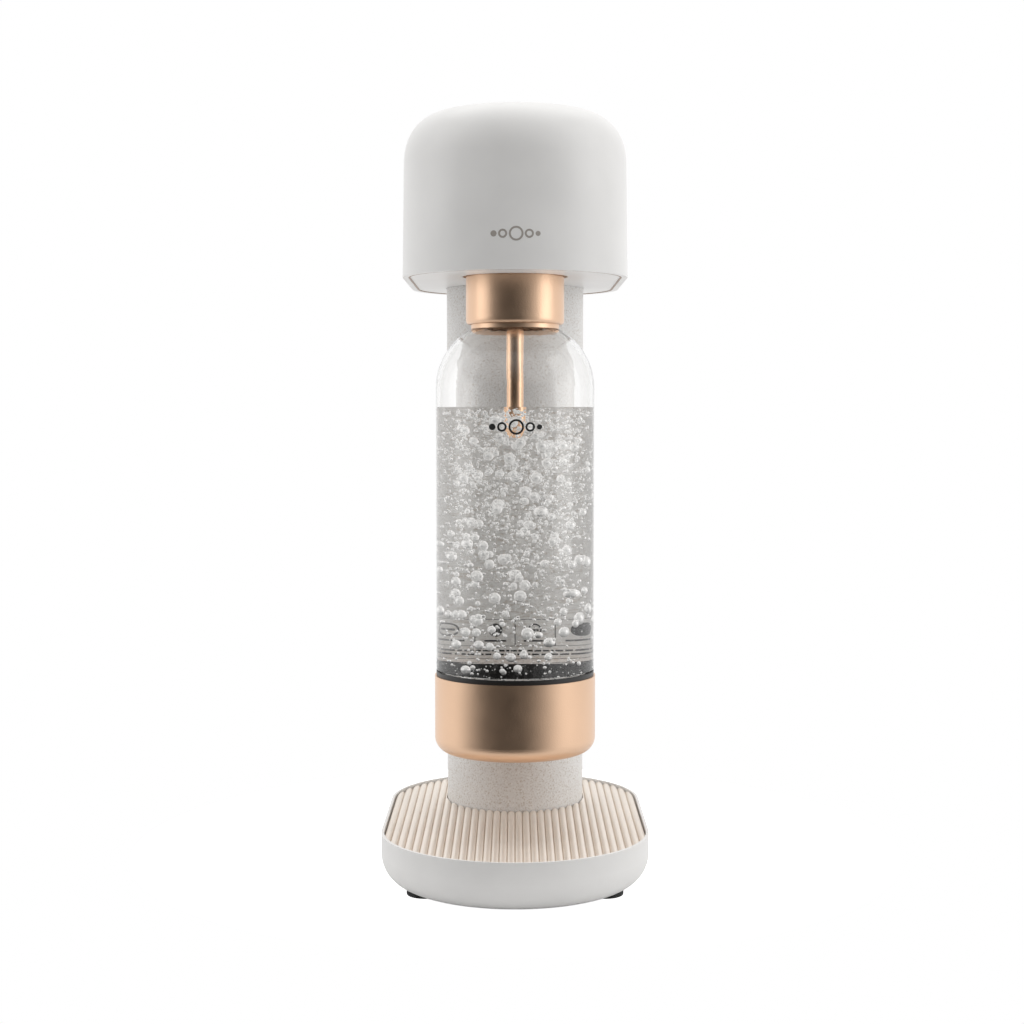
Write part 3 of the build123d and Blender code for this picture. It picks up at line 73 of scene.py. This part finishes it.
@dataclass(frozen=True)
class Finish:
    """A surface finish with a faint cloudiness, uneven gloss and a fine grain."""

    name: str
    colour: Colour
    roughness: float = 0.4
    metallic: float = 0.0
    cloud_scale: float = 30.0
    cloud_depth: float = 0.03
    gloss_spread: float = 0.05
    grain_scale: float = 1500.0
    grain_strength: float = 0.05
    grain_height: float = 0.2 * MM
    stretch: Point = (1.0, 1.0, 1.0)

    def make(self) -> bpy.types.Material:
        """Build the material.

        Returns:
            The material, with its noise placed by object coordinates.
        """
        material = bpy.data.materials.new(self.name)
        material.use_nodes = True
        tree = material.node_tree
        shader = tree.nodes["Principled BSDF"]
        shader.inputs["Metallic"].default_value = self.metallic
        place = self.placing(tree)
        self.paint(tree, shader, place)
        self.gloss(tree, shader, place)
        self.grain(tree, shader, place)
        return material

    def placing(self, tree: bpy.types.NodeTree) -> bpy.types.NodeSocket:
        """Object coordinates, stretched along the working direction.

        Args:
            tree: The material's node tree.

        Returns:
            The socket that carries the coordinates.
        """
        coordinates = tree.nodes.new("ShaderNodeTexCoord")
        mapping = tree.nodes.new("ShaderNodeMapping")
        mapping.inputs["Scale"].default_value = self.stretch
        tree.links.new(coordinates.outputs["Object"], mapping.inputs["Vector"])
        return mapping.outputs["Vector"]

    def noise(
        self, tree: bpy.types.NodeTree, place: bpy.types.NodeSocket, scale: float, detail: float = 3.0
    ) -> bpy.types.NodeSocket:
        """A noise field.

        Args:
            tree: The material's node tree.
            place: Coordinates.
            scale: Features per metre.
            detail: Octaves.

        Returns:
            The noise value.
        """
        noise = tree.nodes.new("ShaderNodeTexNoise")
        noise.inputs["Scale"].default_value = scale
        noise.inputs["Detail"].default_value = detail
        tree.links.new(place, noise.inputs["Vector"])
        return noise.outputs["Fac"]

    def ramp(
        self, tree: bpy.types.NodeTree, value: bpy.types.NodeSocket, stops: Sequence[tuple[float, Colour]]
    ) -> bpy.types.NodeSocket:
        """Turn a value into a colour.

        Args:
            tree: The material's node tree.
            value: The value read.
            stops: Positions and their colours.

        Returns:
            The colour socket.
        """
        ramp = tree.nodes.new("ShaderNodeValToRGB")
        elements = ramp.color_ramp.elements
        while len(elements) < len(stops):
            elements.new(0.5)
        for element, (position, colour) in zip(elements, stops):
            element.position = position
            element.color = (*colour, 1.0)
        tree.links.new(value, ramp.inputs["Fac"])
        return ramp.outputs["Color"]

    def paint(
        self, tree: bpy.types.NodeTree, shader: bpy.types.ShaderNode, place: bpy.types.NodeSocket
    ) -> None:
        """Lay the colour with a faint cloudiness.

        Args:
            tree: The material's node tree.
            shader: Its surface shader.
            place: Coordinates.
        """
        low = tuple(c * (1 - self.cloud_depth) for c in self.colour)
        high = tuple(min(1.0, c * (1 + self.cloud_depth)) for c in self.colour)
        colour = self.ramp(tree, self.noise(tree, place, self.cloud_scale), [(0.3, low), (0.7, high)])
        tree.links.new(colour, shader.inputs["Base Color"])

    def gloss(
        self, tree: bpy.types.NodeTree, shader: bpy.types.ShaderNode, place: bpy.types.NodeSocket
    ) -> None:
        """Vary the roughness a little about its value.

        Args:
            tree: The material's node tree.
            shader: Its surface shader.
            place: Coordinates.
        """
        spread = tree.nodes.new("ShaderNodeMapRange")
        spread.inputs["To Min"].default_value = max(0.0, self.roughness - self.gloss_spread)
        spread.inputs["To Max"].default_value = self.roughness + self.gloss_spread
        tree.links.new(self.noise(tree, place, self.cloud_scale * 4), spread.inputs["Value"])
        tree.links.new(spread.outputs["Result"], shader.inputs["Roughness"])

    def grain(
        self, tree: bpy.types.NodeTree, shader: bpy.types.ShaderNode, place: bpy.types.NodeSocket
    ) -> None:
        """Raise a fine grain.

        Args:
            tree: The material's node tree.
            shader: Its surface shader.
            place: Coordinates.
        """
        bump = tree.nodes.new("ShaderNodeBump")
        bump.inputs["Strength"].default_value = self.grain_strength
        bump.inputs["Distance"].default_value = self.grain_height
        tree.links.new(self.noise(tree, place, self.grain_scale, 2.0), bump.inputs["Height"])
        tree.links.new(bump.outputs["Normal"], shader.inputs["Normal"])


@dataclass(frozen=True)
class SpeckledFinish(Finish):
    """A moulded composite with pale and darker specks through it."""

    speck_colour: Colour = (0.60, 0.55, 0.50)
    fleck_colour: Colour = (0.87, 0.86, 0.84)
    speck_scale: float = 1100.0

    def paint(
        self, tree: bpy.types.NodeTree, shader: bpy.types.ShaderNode, place: bpy.types.NodeSocket
    ) -> None:
        """Lay the ground colour, then specks of two kinds."""
        grains = self.noise(tree, place, self.speck_scale, 4.0)
        stops = [
            (0.34, self.speck_colour),
            (0.46, self.colour),
            (0.56, self.colour),
            (0.68, self.fleck_colour),
        ]
        tree.links.new(self.ramp(tree, grains, stops), shader.inputs["Base Color"])


@dataclass(frozen=True)
class ClearFinish:
    """A clear body: glass or water."""

    name: str
    colour: Colour
    ior: float
    ripple: float = 0.0
    ripple_scale: float = 45.0
    ripple_height: float = 0.2 * MM

    def make(self) -> bpy.types.Material:
        """Build the clear material, with a faint unevenness of its surface.

        Returns:
            The material.
        """
        material = bpy.data.materials.new(self.name)
        material.use_nodes = True
        tree = material.node_tree
        shader = tree.nodes["Principled BSDF"]
        shader.inputs["Base Color"].default_value = (*self.colour, 1.0)
        shader.inputs["Roughness"].default_value = 0.0
        shader.inputs["IOR"].default_value = self.ior
        shader.inputs["Transmission Weight"].default_value = 1.0
        coordinates = tree.nodes.new("ShaderNodeTexCoord")
        noise = tree.nodes.new("ShaderNodeTexNoise")
        noise.inputs["Scale"].default_value = self.ripple_scale
        bump = tree.nodes.new("ShaderNodeBump")
        bump.inputs["Strength"].default_value = self.ripple
        bump.inputs["Distance"].default_value = self.ripple_height
        tree.links.new(coordinates.outputs["Object"], noise.inputs["Vector"])
        tree.links.new(noise.outputs["Fac"], bump.inputs["Height"])
        tree.links.new(bump.outputs["Normal"], shader.inputs["Normal"])
        return material


WHITE_PLASTIC = Finish("white plastic", (0.80, 0.79, 0.775), 0.34, grain_strength=0.03)
COMPOSITE = SpeckledFinish("speckled composite", (0.77, 0.76, 0.745), 0.5, grain_strength=0.12)
ROSE_ALUMINIUM = Finish("rose anodised aluminium", (0.85, 0.775, 0.695), 0.42, 0.5, grain_strength=0.08)
COPPER = Finish(
    "fine-blasted copper anodising", (0.80, 0.545, 0.375), 0.30, 1.0, grain_scale=1500.0, grain_strength=0.35
)
NOZZLE_COPPER = Finish("satin copper anodising", (0.80, 0.54, 0.37), 0.2, 1.0, stretch=(1.0, 1.0, 0.2))
TRIM = Finish("brown trim", (0.30, 0.20, 0.14), 0.4, 0.6)
RUBBER = Finish("black rubber", (0.025, 0.025, 0.025), 0.75, grain_strength=0.2)
BLACK_PLASTIC = Finish("black plastic", (0.012, 0.011, 0.010), 0.38)
STEEL = Finish("brushed steel", (0.60, 0.60, 0.61), 0.3, 1.0, stretch=(1.0, 1.0, 0.05), grain_scale=900.0)
LEVER_METAL = Finish("cast lever metal", (0.66, 0.66, 0.67), 0.42, 1.0, grain_strength=0.2)
BRASS = Finish("turned brass", (0.78, 0.60, 0.30), 0.25, 1.0, stretch=(1.0, 1.0, 6.0))
CYLINDER_PAINT = Finish("grey cylinder paint", (0.42, 0.44, 0.46), 0.35)
TUBE = Finish("pale nylon", (0.78, 0.78, 0.75), 0.35)
BLACK_INK = Finish("black ink", (0.008, 0.008, 0.008), 0.5)
GREY_INK = Finish("warm grey ink", (0.36, 0.33, 0.30), 0.5)
# Bubbles: an opaque pale skin, partly metallic; its pale colour is painted sheen that stands in for the light
# real air bubbles reflect and bend.
PAINTED_SHEEN_BUBBLE = Finish("bubble skin", (0.95, 0.945, 0.935), 0.09, 0.35, gloss_spread=0.04, grain_strength=0.0)
FLOOR_PAPER = Finish("floor paper", (0.80, 0.80, 0.80), 0.8)
CLEAR_BOTTLE = ClearFinish("clear bottle", (0.995, 0.992, 0.987), 1.45, 0.02)
WATER = ClearFinish("water", (1.0, 0.993, 0.982), 1.33, 0.04)


@dataclass
class Dressing:
    """The finish of each material slot of the frame."""

    finishes: dict[str, Finish | ClearFinish] = field(
        default_factory=lambda: {
            "white_plastic": WHITE_PLASTIC,
            "composite": COMPOSITE,
            "tray_aluminium": ROSE_ALUMINIUM,
            "copper": COPPER,
            "nozzle_copper": NOZZLE_COPPER,
            "trim": TRIM,
            "rubber": RUBBER,
            "black_plastic": BLACK_PLASTIC,
            "steel": STEEL,
            "lever_metal": LEVER_METAL,
            "brass": BRASS,
            "cylinder_paint": CYLINDER_PAINT,
            "tube": TUBE,
            "clear": CLEAR_BOTTLE,
        }
    )

    def dress(self) -> None:
        """Give every CAD node the finish of its slot."""
        made = {slot: finish.make() for slot, finish in self.finishes.items()}
        for part in frame["record"]["subparts"]:
            node = frame["nodes"][part["node"]]
            for material_slot in node.material_slots:
                material_slot.material = made[part["material_slot"]]
            if part["material_slot"] == "clear":
                let_light_through(node)
            log.info("dressed %s in %s", part["node"], part["material_slot"])


# ---------------------------------------------------------------- making pieces


def deselect() -> None:
    """Leave nothing selected, so that an operator acts only on the next piece."""
    bpy.ops.object.select_all(action="DESELECT")


def settle(piece: bpy.types.Object, name: str) -> bpy.types.Object:
    """Name a piece and put its place into its mesh.

    Args:
        piece: The piece, in object mode.
        name: Its name.

    Returns:
        The same piece.
    """
    deselect()
    piece.select_set(True)
    bpy.context.view_layer.objects.active = piece
    bpy.ops.object.transform_apply(location=True, rotation=True, scale=True)
    piece.name = name
    return piece


def join(pieces: Sequence[bpy.types.Object], name: str) -> bpy.types.Object:
    """Join pieces into one.

    Args:
        pieces: The pieces.
        name: The name of the whole.

    Returns:
        The joined piece.
    """
    deselect()
    for piece in pieces:
        piece.select_set(True)
    bpy.context.view_layer.objects.active = pieces[0]
    bpy.ops.object.join()
    return settle(pieces[0], name)


def turned(
    name: str, axis_y: float, profile: Sequence[tuple[float, float]], segments: int = 96
) -> bpy.types.Object:
    """Turn a closed solid about an upright axis.

    Args:
        name: The piece's name.
        axis_y: Where the axis stands.
        profile: Radius and height, from the bottom up.
        segments: Sides of the round.

    Returns:
        The turned piece.
    """
    deselect()
    radius, height = profile[0]
    bpy.ops.mesh.primitive_circle_add(
        vertices=segments, radius=radius, fill_type="NGON", location=(0, axis_y, height)
    )
    piece = bpy.context.object
    bpy.ops.object.mode_set(mode="EDIT")
    bpy.ops.mesh.select_all(action="SELECT")
    for next_radius, next_height in profile[1:]:
        bpy.ops.mesh.extrude_region_move(
            TRANSFORM_OT_translate={"value": (0, 0, next_height - height)}
        )
        scale = next_radius / radius
        bpy.ops.transform.resize(value=(scale, scale, 1), center_override=(0, axis_y, next_height))
        radius, height = next_radius, next_height
    bpy.ops.mesh.select_all(action="SELECT")
    bpy.ops.mesh.normals_make_consistent(inside=False)
    bpy.ops.object.mode_set(mode="OBJECT")
    settle(piece, name)
    bpy.ops.object.shade_smooth_by_angle(angle=math.radians(40))
    return piece


def let_light_through(piece: bpy.types.Object) -> None:
    """Let light reach what stands in or behind a clear piece.

    Args:
        piece: The clear piece.
    """
    piece.visible_shadow = False
    piece.visible_diffuse = False


def paint_on(piece: bpy.types.Object, finish: Finish | ClearFinish, body: Body) -> None:
    """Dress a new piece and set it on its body.

    Args:
        piece: The piece.
        finish: Its finish.
        body: The body it rides on.
    """
    piece.data.materials.clear()
    piece.data.materials.append(finish.make())
    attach(piece, body.value)
    log.info("made %s, %d faces", piece.name, len(piece.data.polygons))


# ---------------------------------------------------------------- water and bubbles


@dataclass
class Water:
    """The fill of the bottle, with the bubbles that rise in it."""

    wall: float = 2.0 * MM
    floor: float = 3.0 * MM
    liner: float = 0.9 * MM
    liner_proud: float = 2.4 * MM
    overlap: float = 0.15 * MM
    level_below_head: float = 67.6 * MM
    edge: float = 5.0 * MM
    seed: int = 7
    fine_count: int = 4800
    large_count: int = 460
    fine_sizes: tuple[float, float] = (0.25 * MM, 0.95 * MM)
    large_sizes: tuple[float, float] = (0.8 * MM, 3.4 * MM)
    fine_sides: int = 6
    large_sides: int = 10
    fine_rise: float = 0.42
    large_rise: float = 0.7
    squattest: float = 0.86
    front_share: float = 0.7
    front_depth: float = 0.8
    wall_clearance: float = 0.3 * MM
    nozzle_clearance: float = 6.5 * MM

    def __post_init__(self) -> None:
        """Read the bottle's place from the frame."""
        low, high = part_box("bottle_body")
        self.axis_y = (low[1] + high[1]) / 2
        self.radius = (high[0] - low[0]) / 2 - self.wall
        self.bottom = low[2] + self.floor
        self.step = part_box("base_cup")[1][2] + self.liner_proud
        self.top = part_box("head_shell")[0][2] - self.level_below_head

    def fill(self) -> bpy.types.Object:
        """Turn the water's body, just into the bottle's wall so that no air shows between.

        Returns:
            The water.
        """
        wide = self.radius + self.overlap
        foot = wide - self.liner
        profile = [(foot - self.edge, self.bottom)]
        for share in (30, 60, 90):
            turn = math.radians(share)
            out = foot - self.edge + self.edge * math.sin(turn)
            profile.append((out, self.bottom + self.edge * (1 - math.cos(turn))))
        profile += [(foot, self.step), (wide, self.step + self.liner), (wide, self.top)]
        water = turned("water", self.axis_y, profile)
        let_light_through(water)
        paint_on(water, WATER, Body.BOTTLE)
        return water

    def place(self, rng: random.Random, size: float, rise: float) -> Vector:
        """Choose a bubble's place, clear of the wall and the nozzle, and more often near the front wall.

        Args:
            rng: Seeded random numbers.
            size: The bubble's radius.
            rise: Under 1 crowds the bubbles towards the top.

        Returns:
            Its centre.
        """
        reach = self.radius - self.liner - size - self.wall_clearance
        while True:
            turn = rng.uniform(0, 2 * math.pi)
            out = reach * math.sqrt(rng.uniform(0.0, 1.0))
            if rng.random() < self.front_share:
                turn = -math.acos(rng.uniform(-1.0, 1.0))
                out = reach * rng.uniform(self.front_depth, 1.0)
            if out > self.nozzle_clearance:
                break
        span = self.top - self.bottom - 4 * size
        height = self.bottom + 2 * size + span * rng.random() ** rise
        return Vector((out * math.cos(turn), self.axis_y + out * math.sin(turn), height))

    def bubbles(
        self, name: str, count: int, sizes: tuple[float, float], rise: float, sides: int
    ) -> bpy.types.Object:
        """Scatter bubbles through the water.

        Args:
            name: The piece's name.
            count: How many.
            sizes: Least and greatest radius.
            rise: How much they crowd upwards.
            sides: Sides of each bubble.

        Returns:
            The bubbles, as one piece.
        """
        rng = random.Random(self.seed + count)
        deselect()
        bpy.ops.mesh.primitive_uv_sphere_add(segments=sides, ring_count=sides // 2 + 1, radius=1.0)
        pattern = bpy.context.object
        bpy.ops.object.shade_smooth()
        copies = []
        for _ in range(count):
            size = sizes[0] + (sizes[1] - sizes[0]) * rng.random() ** 2.5
            copy = pattern.copy()
            copy.data = pattern.data.copy()
            squat = rng.uniform(self.squattest, 1.0)
            centre = Matrix.Translation(self.place(rng, size, rise))
            copy.data.transform(centre @ Matrix.Diagonal((size, size, size * squat, 1)))
            bpy.context.collection.objects.link(copy)
            copies.append(copy)
        bpy.data.objects.remove(pattern)
        piece = join(copies, name)
        let_light_through(piece)
        # The bubbles get the pale skin whose colour is painted sheen, standing in for the light that air
        # bubbles reflect and bend.
        paint_on(piece, PAINTED_SHEEN_BUBBLE, Body.BOTTLE)
        return piece

    def build(self) -> None:
        """Fill the bottle and let the bubbles rise."""
        self.fill()
        self.bubbles("fine_bubbles", self.fine_count, self.fine_sizes, self.fine_rise, self.fine_sides)
        self.bubbles("large_bubbles", self.large_count, self.large_sizes, self.large_rise, self.large_sides)


# ---------------------------------------------------------------- printed marks


@dataclass
class Print:
    """Plain printed shapes laid on a round wall."""

    name: str
    node: str
    facing: Facing
    finish: Finish
    body: Body
    lift: float = 0.06 * MM
    standoff: float = 8.0 * MM
    shapes: list[bpy.types.Object] = field(default_factory=list)

    def __post_init__(self) -> None:
        """Find the plane just off the wall, where the shapes are drawn."""
        low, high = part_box(self.node)
        self.plane_y = low[1] - self.standoff if self.facing is Facing.FRONT else high[1] + self.standoff
        self.turn = (math.pi / 2, 0, 0 if self.facing is Facing.FRONT else math.pi)

    def ring(self, x: float, z: float, radius: float, line: float, narrow: float = 1.0) -> None:
        """Draw a ring, or a disc where the line is as wide as the radius.

        Args:
            x: Centre across.
            z: Centre height.
            radius: Outer radius.
            line: Line width.
            narrow: Width over height.
        """
        deselect()
        bpy.ops.mesh.primitive_circle_add(
            vertices=32, radius=radius, fill_type="NGON", location=(x, self.plane_y, z), rotation=self.turn
        )
        shape = bpy.context.object
        if line < radius:
            bpy.ops.object.mode_set(mode="EDIT")
            bpy.ops.mesh.select_all(action="SELECT")
            bpy.ops.mesh.inset(thickness=line)
            bpy.ops.mesh.delete(type="FACE")
            bpy.ops.object.mode_set(mode="OBJECT")
        shape.scale = (narrow, 1, 1)
        self.shapes.append(shape)

    def bar(self, x: float, z: float, width: float, height: float) -> None:
        """Draw a bar, cut across so that it can follow the wall.

        Args:
            x: Centre across.
            z: Centre height.
            width: Size across.
            height: Size up.
        """
        deselect()
        cuts = max(2, round(width / (1.5 * MM)))
        bpy.ops.mesh.primitive_grid_add(
            x_subdivisions=cuts, y_subdivisions=1, size=1, location=(x, self.plane_y, z), rotation=self.turn
        )
        shape = bpy.context.object
        shape.scale = (width, height, 1)
        self.shapes.append(shape)

    def lay(self) -> bpy.types.Object:
        """Lay the shapes on the wall as one print.

        Returns:
            The print.
        """
        for shape in self.shapes:
            settle(shape, self.name)
        piece = join(self.shapes, self.name)
        wrap = piece.modifiers.new("lay on the wall", "SHRINKWRAP")
        wrap.target = frame["nodes"][self.node]
        wrap.wrap_method = "PROJECT"
        wrap.use_project_y = True
        wrap.use_negative_direction = True
        wrap.use_positive_direction = True
        wrap.offset = self.lift
        bpy.ops.object.modifier_apply(modifier=wrap.name)
        paint_on(piece, self.finish, self.body)
        return piece


@dataclass
class Marks:
    """The maker's plain mark on the head and the bottle, and the care strip round the bottle's back."""

    head_mark_rise: float = 17.6 * MM
    head_mark_size: float = 3.6 * MM
    bottle_mark_drop: float = 77.6 * MM
    bottle_mark_size: float = 3.9 * MM
    strip_top: float = 26.5 * MM
    strip_rows: tuple[float, float] = (9.6 * MM, 7.6 * MM)
    strip_foot: float = 5.2 * MM
    strip_panel_foot: float = 12.2 * MM
    strip_half: float = 34.0 * MM
    strip_rule: float = 0.25 * MM
    panels: int = 6
    narrow: float = 0.55
    sign_size: float = 3.6 * MM
    sign_line: float = 0.8 * MM
    sign_rise: float = 1.4 * MM
    caption_drop: float = 4.4 * MM
    dash_height: float = 0.9 * MM
    dash_gap: float = 0.45 * MM
    dash_widths: tuple[float, float] = (0.6, 2.4)
    seed: int = 3

    def mark(self, name: str, node: str, centre_z: float, size: float, finish: Finish, body: Body) -> None:
        """A row of three rings that grow, with two small discs.

        Args:
            name: The print's name.
            node: The wall it lies on.
            centre_z: Its height.
            size: Radius of the largest ring.
            finish: The ink.
            body: The body it rides on.
        """
        row = Print(name, node, Facing.FRONT, finish, body)
        line = 0.26 * size
        row.ring(-2.95 * size, centre_z, 0.42 * size, size)
        row.ring(-1.7 * size, centre_z, 0.62 * size, line)
        row.ring(0.15 * size, centre_z, size, line)
        row.ring(1.95 * size, centre_z, 0.62 * size, line)
        row.ring(3.15 * size, centre_z, 0.34 * size, size)
        row.lay()

    def care_strip(self) -> None:
        """Thin rules, panels with plain signs and rows of dashes, on the back of the bottle."""
        strip = Print("care_strip", "bottle_body", Facing.BACK, BLACK_INK, Body.BOTTLE)
        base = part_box("base_cup")[1][2]
        rule = self.strip_rule
        for rise in (self.strip_top, self.strip_panel_foot, self.strip_foot):
            strip.bar(0, base + rise, 2 * self.strip_half, rule)
        middle = base + (self.strip_top + self.strip_panel_foot) / 2
        tall = self.strip_top - self.strip_panel_foot
        pitch = 2 * self.strip_half / self.panels
        for index in range(self.panels):
            x = (index + 0.5) * pitch - self.strip_half
            strip.bar(x - pitch / 2, middle, rule, tall)
            sign_z = middle + self.sign_rise
            line = self.sign_line if index % 2 else self.sign_size
            strip.ring(x, sign_z, self.sign_size, line, self.narrow)
            strip.bar(x, middle - self.caption_drop, 0.55 * pitch, self.dash_height)
            if index % 2:
                strip.bar(x, sign_z, 0.2 * pitch, 1.1 * MM)
        rng = random.Random(self.seed)
        for rise in self.strip_rows:
            x = -0.92 * self.strip_half
            while x < 0.88 * self.strip_half:
                width = rng.uniform(*self.dash_widths) * MM
                strip.bar(x + width / 2, base + rise, width, self.dash_height)
                x += width + self.dash_gap
        strip.lay()

    def build(self) -> None:
        """Print the marks and the strip."""
        head_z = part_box("head_shell")[0][2]
        mark_z = head_z + self.head_mark_rise
        self.mark("head_mark", "head_shell", mark_z, self.head_mark_size, GREY_INK, Body.STAND)
        bottle_z = head_z - self.bottle_mark_drop
        self.mark("bottle_mark", "bottle_body", bottle_z, self.bottle_mark_size, BLACK_INK, Body.BOTTLE)
        self.care_strip()


# ---------------------------------------------------------------- studio


@dataclass
class Studio:
    """Pale floor, soft light and the camera."""

    floor_radius: float = 0.22
    floor_centre: Point = (0.0, 0.05, 0.0)
    camera_place: Point = (0.0, -0.9863, 0.2506)
    camera_pitch: float = 3.168
    lens: float = 63.19
    shift_x: float = -0.003
    light_aim: Point = (0.0, 0.0, 0.2)
    left_place: Point = (-1.3, -0.25, 0.7)
    left_size: tuple[float, float] = (0.9, 1.4)
    left_power: float = 2.4
    right_place: Point = (1.3, -0.35, 0.7)
    right_size: tuple[float, float] = (0.8, 1.4)
    right_power: float = 3.3
    top_place: Point = (0.0, 0.2, 1.7)
    top_size: tuple[float, float] = (1.6, 1.6)
    top_power: float = 6.0
    room_light: float = 1.0
    front_dark: float = 0.03
    front_heading: Point = (-0.2, -0.97, -0.14)
    front_flatness: float = 2.3
    front_span: tuple[float, float] = (0.1, 0.98)

    def floor(self) -> None:
        """Lay a round floor that the camera sees as white as the room."""
        deselect()
        bpy.ops.mesh.primitive_circle_add(
            vertices=96, radius=self.floor_radius, fill_type="NGON", location=self.floor_centre
        )
        sheet = bpy.context.object
        sheet.name = "floor"
        paper = FLOOR_PAPER.make()
        shader = paper.node_tree.nodes["Principled BSDF"]
        shader.inputs["Emission Color"].default_value = (1.0, 1.0, 1.0, 1.0)
        path = paper.node_tree.nodes.new("ShaderNodeLightPath")
        paper.node_tree.links.new(path.outputs["Is Camera Ray"], shader.inputs["Emission Strength"])
        sheet.data.materials.append(paper)

    def light(self, name: str, place: Point, size: tuple[float, float], power: float) -> None:
        """Hang a soft box that faces the object.

        Args:
            name: The light's name.
            place: Where it hangs.
            size: Its width and height.
            power: Watts.
        """
        data = bpy.data.lights.new(name, "AREA")
        data.shape = "RECTANGLE"
        data.size, data.size_y = size
        data.energy = power
        lamp = bpy.data.objects.new(name, data)
        aim = Vector(self.light_aim) - Vector(place)
        lamp.location = place
        lamp.rotation_euler = aim.to_track_quat("-Z", "Y").to_euler()
        bpy.context.scene.collection.objects.link(lamp)

    def surroundings(self) -> None:
        """A bright room that is darker on the side the front faces."""
        world = bpy.data.worlds.new("studio")
        bpy.context.scene.world = world
        world.use_nodes = True
        tree = world.node_tree
        background = tree.nodes["Background"]
        background.inputs["Color"].default_value = (1.0, 1.0, 1.0, 1.0)
        coordinates = tree.nodes.new("ShaderNodeTexCoord")
        flatten = tree.nodes.new("ShaderNodeVectorMath")
        flatten.operation = "MULTIPLY"
        flatten.inputs[1].default_value = (1.0, 1.0, self.front_flatness)
        level = tree.nodes.new("ShaderNodeVectorMath")
        level.operation = "NORMALIZE"
        along = tree.nodes.new("ShaderNodeVectorMath")
        along.operation = "DOT_PRODUCT"
        along.inputs[1].default_value = Vector(self.front_heading).normalized()
        shade = tree.nodes.new("ShaderNodeMapRange")
        shade.interpolation_type = "SMOOTHSTEP"
        shade.inputs["From Min"].default_value, shade.inputs["From Max"].default_value = self.front_span
        shade.inputs["To Min"].default_value = self.room_light
        shade.inputs["To Max"].default_value = self.front_dark
        tree.links.new(coordinates.outputs["Generated"], flatten.inputs[0])
        tree.links.new(flatten.outputs["Vector"], level.inputs[0])
        tree.links.new(level.outputs["Vector"], along.inputs[0])
        tree.links.new(along.outputs["Value"], shade.inputs["Value"])
        path = tree.nodes.new("ShaderNodeLightPath")
        seen = tree.nodes.new("ShaderNodeMath")
        seen.operation = "MAXIMUM"
        tree.links.new(shade.outputs["Result"], seen.inputs[0])
        tree.links.new(path.outputs["Is Camera Ray"], seen.inputs[1])
        tree.links.new(seen.outputs["Value"], background.inputs["Strength"])

    def camera(self) -> None:
        """Set the camera."""
        data = bpy.data.cameras.new("camera")
        data.lens = self.lens
        data.sensor_width = 36.0
        data.shift_x = self.shift_x
        view = bpy.data.objects.new("camera", data)
        view.location = self.camera_place
        view.rotation_euler = (math.radians(90 - self.camera_pitch), 0, 0)
        bpy.context.scene.collection.objects.link(view)
        bpy.context.scene.camera = view

    def build(self) -> None:
        """Set up the studio."""
        self.floor()
        self.light("left soft box", self.left_place, self.left_size, self.left_power)
        self.light("right soft box", self.right_place, self.right_size, self.right_power)
        self.light("top soft box", self.top_place, self.top_size, self.top_power)
        self.surroundings()
        self.camera()
        bpy.context.scene.view_settings.view_transform = "Standard"


def main() -> None:
    """Dress the frame, fill the bottle, print the marks and set the studio."""
    logging.basicConfig(level=logging.INFO, format="%(name)s: %(message)s")
    Dressing().dress()
    Water().build()
    Marks().build()
    Studio().build()


if __name__ == "__main__":
    main()
